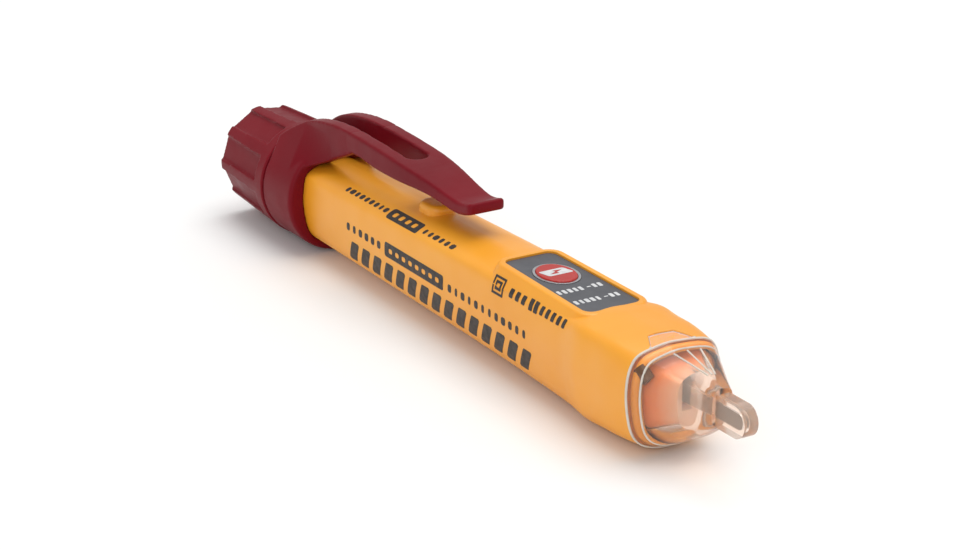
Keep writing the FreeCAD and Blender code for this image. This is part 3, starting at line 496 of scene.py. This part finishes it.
def barRowTree():  # a row of bars: how many, how far apart, how big, how slanted, and how uneven in length
    tree = bpy.data.node_groups.new("barRow", "GeometryNodeTree")
    inputs = (("Count", "NodeSocketInt"), ("Pitch", "NodeSocketFloat"), ("Width", "NodeSocketFloat"),
              ("Height", "NodeSocketFloat"), ("Slant", "NodeSocketFloat"), ("Corner", "NodeSocketFloat"),
              ("Shortest", "NodeSocketFloat"), ("Seed", "NodeSocketInt"), ("Ink", "NodeSocketMaterial"))
    for name, kind in inputs:
        tree.interface.new_socket(name, in_out="INPUT", socket_type=kind)
    tree.interface.new_socket("Geometry", in_out="OUTPUT", socket_type="NodeSocketGeometry")
    given = addNode(tree, "NodeGroupInput").outputs
    step = addNode(tree, "ShaderNodeCombineXYZ", {"X": given["Pitch"]})
    row = addNode(tree, "GeometryNodeMeshLine", {"Count": given["Count"], "Offset": step.outputs[0]})
    outline = addNode(tree, "GeometryNodeCurvePrimitiveQuadrilateral",
                      {"Width": given["Width"], "Height": given["Height"], "Offset": given["Slant"]},
                      mode="PARALLELOGRAM")
    rounded = addNode(tree, "GeometryNodeFilletCurve",
                      {"Curve": outline.outputs[0], "Radius": given["Corner"]})
    face = addNode(tree, "GeometryNodeFillCurve", {"Curve": rounded.outputs[0]})
    size = addNode(tree, "FunctionNodeRandomValue", {2: given["Shortest"], 3: 1.0, "Seed": given["Seed"]})
    scale = addNode(tree, "ShaderNodeCombineXYZ", {"X": size.outputs[1], "Y": 1.0, "Z": 1.0})
    bars = addNode(tree, "GeometryNodeInstanceOnPoints",
                   {"Points": row.outputs[0], "Instance": face.outputs[0], "Scale": scale.outputs[0]})
    plain = addNode(tree, "GeometryNodeRealizeInstances", {"Geometry": bars.outputs[0]})
    inked = addNode(tree, "GeometryNodeSetMaterial", {"Geometry": plain.outputs[0], "Material": given["Ink"]})
    addNode(tree, "NodeGroupOutput", {"Geometry": inked.outputs[0]})
    return tree


barRow = barRowTree()


def treeMesh(tree, values):  # what a tree makes from the named sizes
    thing = bpy.data.objects.new("made", bpy.data.meshes.new("made"))
    modifier = thing.modifiers.new("made", "NODES")
    modifier.node_group = tree
    for item in tree.interface.items_tree:
        if item.item_type == "SOCKET" and item.in_out == "INPUT":
            modifier[item.identifier] = values[item.name]
    return settled(thing)


def bars(ink, start, count, pitch, width, height, y=0.0, slant=0.0, corner=0.1, shortest=1.0, seed=3):
    mesh = treeMesh(barRow, {"Count": count, "Pitch": pitch, "Width": width, "Height": height, "Slant": slant,
                             "Corner": corner, "Shortest": shortest, "Seed": seed, "Ink": ink})
    for vertex in mesh.vertices:
        vertex.co.x += start + pitch / 2
        vertex.co.y += y
    return mesh


def badge(look):  # a rounded bar with a row of small shapes left out of it
    windows = [roundedBar(look["firstWindow"] + look["windowPitch"] * i, 0, *look["window"])
               for i in range(look["windows"])]
    return filled([roundedBar(*look["bar"])] + windows)


def joined(meshes):
    shape = bmesh.new()
    for mesh in meshes:
        shape.from_mesh(mesh)
    result = bpy.data.meshes.new("artwork")
    shape.to_mesh(result)
    shape.free()
    for mesh in meshes:
        bpy.data.meshes.remove(mesh)
    return result


def facingFrom(degrees):  # 0 looks out sideways towards -Y, 90 looks straight up
    return Vector((0, -math.cos(math.radians(degrees)), math.sin(math.radians(degrees))))


sideways = Vector((1, 0, 0))
film = dict(cellLong=2.5, cellWide=0.45, reach=4.0, lift=0.004, film=0.03)
markFilm = dict(cellLong=0.5, cellWide=0.45, reach=4.0, lift=0.02, film=0.03)

# two lines of small marks with a dark badge in each, and a broad striped band under them
upperLine = dict(at=(62.4, -5.75, 6.35), facing=58,
                 badge=dict(bar=(2.2, 0, 10.8, 2.5, 0.55), firstWindow=-1.2, windowPitch=2.25, windows=4,
                            window=(1.2, 1.1, 0.3, 0.15)),
                 rows=(dict(start=-19.5, count=9, pitch=1.75, width=1.4, height=1.15, slant=0.25, corner=0.3,
                            shortest=0.35, seed=5),
                       dict(start=8.4, count=6, pitch=1.85, width=1.45, height=1.15, slant=0.25, corner=0.3,
                            shortest=0.4, seed=8)))
middleLine = dict(at=(77.0, -7.8, 0.5), facing=2,
                  badge=dict(bar=(-6.3, 0, 20.4, 2.7, 0.5), firstWindow=-14.4, windowPitch=2.32, windows=8,
                             window=(1.3, 0.9, 0.4)),
                  rows=(dict(start=-31.0, count=6, pitch=2.25, width=1.35, height=1.4, corner=0.3,
                             shortest=0.5, seed=11),
                        dict(start=5.0, count=12, pitch=2.2, width=1.35, height=1.4, y=-0.2, corner=0.3,
                             shortest=0.5, seed=4)))
for name, look in (("upperPrintLine", upperLine), ("middlePrintLine", middleLine)):
    art = joined([badge(look["badge"])] + [bars(inkBlack, **row) for row in look["rows"]])
    wrapped(name, art, "housing", onTester(*look["at"]), sideways, facingFrom(look["facing"]), inkBlack,
            "tester_body", film)

stripeBand = dict(at=(77.5, -7.1, -4.1), facing=-17,
                  row=dict(start=-31.4, count=15, pitch=4.2, width=2.7, height=4.1, slant=2.4, corner=0.25))
wrapped("stripeBand", bars(inkBlack, **stripeBand["row"]), "housing", onTester(*stripeBand["at"]), sideways,
        facingFrom(stripeBand["facing"]), inkBlack, "tester_body", film)

# double square for double insulation, then a rating bar drawn as plain blocks
ratingMark = dict(at=(98.2, -7.75, 5.8), facing=30, corner=0.05,
                  squares=((3.4, 3.1), (2.6, 2.3), (1.8, 1.6), (0.9, 0.7)),
                  rows=(dict(start=3.2, count=3, pitch=1.9, width=1.1, height=1.6, slant=0.2, corner=0.15),
                        dict(start=9.5, count=2, pitch=1.5, width=1.1, height=2.0),
                        dict(start=12.7, count=5, pitch=1.7, width=0.95, height=1.6, slant=0.2, corner=0.15)))
squares = filled([roundedBar(0, 0, *size, ratingMark["corner"]) for size in ratingMark["squares"]])
art = joined([squares] + [bars(inkBlack, **row) for row in ratingMark["rows"]])
wrapped("ratingMark", art, "housing", onTester(*ratingMark["at"]), sideways, facingFrom(ratingMark["facing"]),
        inkBlack, "tester_body", markFilm)
print("side prints laid on the housing")

# two rows of pale blocks on the pad and a slanted bolt sign on the key
crosswise = Vector((0, 1, 0))
upwards = Vector((0, 0, 1))
padFilm = dict(cellLong=3.0, cellWide=3.0, reach=4.0, lift=0.004, film=0.03)
padRows = dict(stations=(111.3, 116.2), shifts=(-0.1, 0.0), seeds=(2, 9), above=8.0,
               figures=dict(start=-4.6, count=5, pitch=1.05, width=0.75, height=1.5, slant=0.12, corner=0.15,
                            shortest=0.7),
               dash=dict(start=1.2, count=1, pitch=0.9, width=0.8, height=0.3),
               lastFigures=dict(start=2.2, count=2, pitch=1.05, width=0.75, height=1.5, slant=0.12,
                                corner=0.15, shortest=0.8))
for index, station in enumerate(padRows["stations"]):
    seed = padRows["seeds"][index]
    art = joined([bars(inkWhite, seed=seed, **padRows["figures"]), bars(inkWhite, **padRows["dash"]),
                  bars(inkWhite, seed=seed, **padRows["lastFigures"])])
    middleOfRow = onTester(station, padRows["shifts"][index], padRows["above"])
    wrapped(f"padRow{index + 1}", art, "keypad_panel", middleOfRow, crosswise, upwards, inkWhite,
            "tester_body", padFilm)

keySign = dict(station=103.9, above=8.5, plate=(0, 0, 4.7, 2.5, 0.4, -0.3),
               bolt=((1.5, 0.55), (-0.3, 0.75), (-0.1, 0.1), (-1.5, -0.55), (0.3, -0.75), (0.1, -0.1)))
art = filled([roundedBar(*keySign["plate"]), keySign["bolt"]])
wrapped("keySign", art, "power_button", onTester(keySign["station"], 0, keySign["above"]), crosswise, upwards,
        inkWhite, "button", padFilm)
print("pad and key prints laid")


# the pale lines of the window, painted highlights laid as pale beads: at its seam, along its moulded crease,
# on its ribs and along its tongue's edge

def outlineAt(nodeName, station):  # the outermost closed outline of a node, cut square to the long axis
    shape = bmesh.new()
    shape.from_mesh(frame["nodes"][nodeName].data)
    bmesh.ops.remove_doubles(shape, verts=shape.verts, dist=0.001 * mm)
    parts = shape.verts[:] + shape.edges[:] + shape.faces[:]
    cut = bmesh.ops.bisect_plane(shape, geom=parts, plane_co=onTester(station, 0, 0), plane_no=sideways)
    edges = [part for part in cut["geom_cut"] if isinstance(part, bmesh.types.BMEdge)]
    neighbours = {}
    for edge in edges:
        first, second = edge.verts
        neighbours.setdefault(first, []).append(second)
        neighbours.setdefault(second, []).append(first)
    loops, left = [], set(neighbours)
    while left:
        vertex = min(left, key=lambda v: v.index)
        loop = []
        while vertex in left:
            left.discard(vertex)
            loop.append(vertex.co.copy())
            ahead = [other for other in neighbours[vertex] if other in left]
            vertex = ahead[0] if ahead else vertex
        loops.append(loop)
    shape.free()
    return max(loops, key=lambda loop: max(point.y for point in loop) - min(point.y for point in loop))


def bead(name, points, look, material, body, closed=True):  # a round line laid through the points
    curve = bpy.data.curves.new(name, "CURVE")
    curve.dimensions = "3D"
    curve.bevel_depth = look["radius"] * mm
    curve.bevel_resolution = 3
    curve.use_fill_caps = not closed
    spline = curve.splines.new("NURBS")
    spline.points.add(len(points) - 1)
    for point, place in zip(spline.points, points):
        point.co = (*place, 1)
    spline.use_cyclic_u = closed
    spline.order_u = 4
    spline.use_endpoint_u = not closed
    spline.resolution_u = look["steps"]
    return newPiece(name, settled(bpy.data.objects.new(name, curve)), material, body)


def thinned(points, spacing):  # points along an outline, at least this many mm apart
    kept = [points[0]]
    for point in points[1:]:
        if (point - kept[-1]).length >= spacing * mm:
            kept.append(point)
    return kept


# seam and crease beads: painted highlights where the window's rim and inner step catch the light; the rim
# bead is the housing's own yellow edge
seamPaintedHighlight = dict(station=137.5, radius=0.24, steps=3, spacing=0.5, inset=0.1)
creasePaintedHighlight = dict(station=139.6, radius=0.2, steps=3, spacing=0.5, inset=0.1)
rimBead = dict(station=138.2, radius=1.0, steps=3, spacing=0.8, inset=1.3)
for name, look, material, slot in (("seamPaintedHighlight", seamPaintedHighlight, sealSiliconeAndPaintedHighlight, "seal_silicone"),
                                   ("windowCreasePaintedHighlight", creasePaintedHighlight, sealSiliconeAndPaintedHighlight, "seal_silicone"),
                                   ("windowRim", rimBead, mouldedAbs, "body_yellow")):
    outline = thinned(outlineAt("nose_lens", look["station"]), look["spacing"])
    axis = onTester(look["station"], 0, 0)
    outline = [point - (point - axis).normalized() * look["inset"] * mm for point in outline]
    bead(name, outline, look, material, "tester_body")

# a dark brown bead beside the lamps, seen through the near shoulder of the window
shadeLook = dict(radius=1.15, steps=4, route=((138.0, -6.6, 5.0), (138.9, -6.4, 4.2), (139.9, -6.0, 3.3)))
lampBrown = finish("darkBrownWindowPatch",
                   dict(base="5B3A1C", drift="6B4522", driftSize=2, grainSize=0.3, grainDepth=0.006,
                        glossSize=1.5, roughness=(0.4, 0.6)), **{"IOR": 1.5})
bead("lampShade", [onTester(*place) for place in shadeLook["route"]], shadeLook, lampBrown, "tester_body",
     closed=False)

dropFrom = 15.0


def onWindow(points, sink):  # places dropped straight down onto the window or the housing, and sunk a little
    graph = bpy.context.evaluated_depsgraph_get()
    trees = [BVHTree.FromObject(frame["nodes"][name], graph) for name in ("nose_lens", "housing")]
    laid = []
    for station, across in points:
        start = onTester(station, across, dropFrom)
        hits = [tree.ray_cast(start, -upwards)[0] for tree in trees]
        laid.append(max((hit for hit in hits if hit), key=lambda hit: hit.z) - upwards * sink * mm)
    return laid


def evenShares(count):  # from 0 to 1 in even steps
    return [step / (count - 1) for step in range(count)]


# pale beads on the window's ribs: painted highlights along the ribs
ribHighlightLook = dict(radius=0.17, steps=4, sink=0.05, rear=140.3, front=147.3, count=9, rearAcross=(-1.9, 0.6, 3.1),
               frontAcross=(-0.5, 0.2, 0.9))
for index, (rearAcross, frontAcross) in enumerate(zip(ribHighlightLook["rearAcross"], ribHighlightLook["frontAcross"])):
    route = [(ribHighlightLook["rear"] + (ribHighlightLook["front"] - ribHighlightLook["rear"]) * share,
              rearAcross + (frontAcross - rearAcross) * share) for share in evenShares(ribHighlightLook["count"])]
    bead(f"windowRibPaintedHighlight{index + 1}", onWindow(route, ribHighlightLook["sink"]), ribHighlightLook, sealSiliconeAndPaintedHighlight, "tester_body",
         closed=False)

# a pale bead along the edge of the window's tongue: a painted highlight
tongueHighlightLook = dict(radius=0.2, steps=2, sink=0.0, rear=134.0, front=137.3, halfWidth=2.4, flare=1.8, count=7)
shares = evenShares(tongueHighlightLook["count"])
side = [(tongueHighlightLook["rear"] + (tongueHighlightLook["front"] - tongueHighlightLook["rear"]) * share,
         tongueHighlightLook["halfWidth"] + tongueHighlightLook["flare"] * share) for share in shares]
rearEdge = [(tongueHighlightLook["rear"], tongueHighlightLook["halfWidth"] * (2 * share - 1)) for share in shares]
route = [(station, -across) for station, across in reversed(side)] + rearEdge[1:-1] + side
bead("tongueEdgePaintedHighlight", onWindow(route, tongueHighlightLook["sink"]), tongueHighlightLook, sealSiliconeAndPaintedHighlight, "tester_body",
     closed=False)
print("window beads, ribs and tongue edge laid")

# stage, light and camera

def areaLight(name, target, place, size, watts):
    lamp = bpy.data.lights.new(name, "AREA")
    lamp.shape = "DISK"
    lamp.size = size
    lamp.energy = watts
    lampObject = bpy.data.objects.new(name, lamp)
    lampObject.location = place
    lampObject.rotation_euler = (Vector(target) - Vector(place)).to_track_quat("-Z", "Y").to_euler()
    bpy.context.scene.collection.objects.link(lampObject)


studio = dict(floorSize=3.0, floor="F4F4F3", floorDrift="F1F1F0", driftScale=6.0, sky=0.62,
              overhead=dict(place=(-0.1, 0.15, 0.9), size=0.9, watts=5.5),
              front=dict(place=(0.75, -0.75, 0.55), size=0.5, watts=2.2))
floorMesh = bpy.data.meshes.new("floor")
half = studio["floorSize"] / 2
corners = [(-half, -half, 0), (half, -half, 0), (half, half, 0), (-half, half, 0)]
floorMesh.from_pydata(corners, [], [(0, 1, 2, 3)])
floor = bpy.data.objects.new("floor", floorMesh)
bpy.context.scene.collection.objects.link(floor)
floorPaper, floorTree, floorShader = newMaterial("seamlessPaper",
                                                 {"Roughness": 0.9, "Specular IOR Level": 0.1})
floorPlace = addNode(floorTree, "ShaderNodeTexCoord").outputs["Object"]
floorDrift = addNode(floorTree, "ShaderNodeTexNoise", {"Vector": floorPlace, "Scale": studio["driftScale"]})
floorColour = mixedColour(floorTree, floorDrift.outputs[0], studio["floor"], studio["floorDrift"])
floorTree.links.new(floorColour, floorShader.inputs["Base Color"])
floorMesh.materials.append(floorPaper)

world = bpy.data.worlds.new("studioSky")
world.use_nodes = True
world.node_tree.nodes["Background"].inputs["Color"].default_value = (1, 1, 1, 1)
world.node_tree.nodes["Background"].inputs["Strength"].default_value = studio["sky"]
bpy.context.scene.world = world
bpy.context.scene.view_settings.view_transform = "Standard"
areaLight("overhead", middle, **studio["overhead"])
areaLight("front", middle, **studio["front"])

cameraLook = dict(azimuth=58.45, elevation=20.66, distance=0.4843, lens=104.4, forward=3.9, lower=1.7)
turn, rise = math.radians(cameraLook["azimuth"]), math.radians(cameraLook["elevation"])
away = Vector((math.sin(turn) * math.cos(rise), -math.cos(turn) * math.cos(rise), math.sin(rise)))
aim = middle + Vector((cameraLook["forward"] * mm, 0, -cameraLook["lower"] * mm))
camera = bpy.data.objects.new("camera", bpy.data.cameras.new("camera"))
camera.data.lens = cameraLook["lens"]
camera.data.clip_start = 0.01
camera.location = aim + away * cameraLook["distance"]
camera.rotation_euler = (-away).to_track_quat("-Z", "Y").to_euler()
bpy.context.scene.collection.objects.link(camera)
bpy.context.scene.camera = camera
print("stage, lights and camera set")
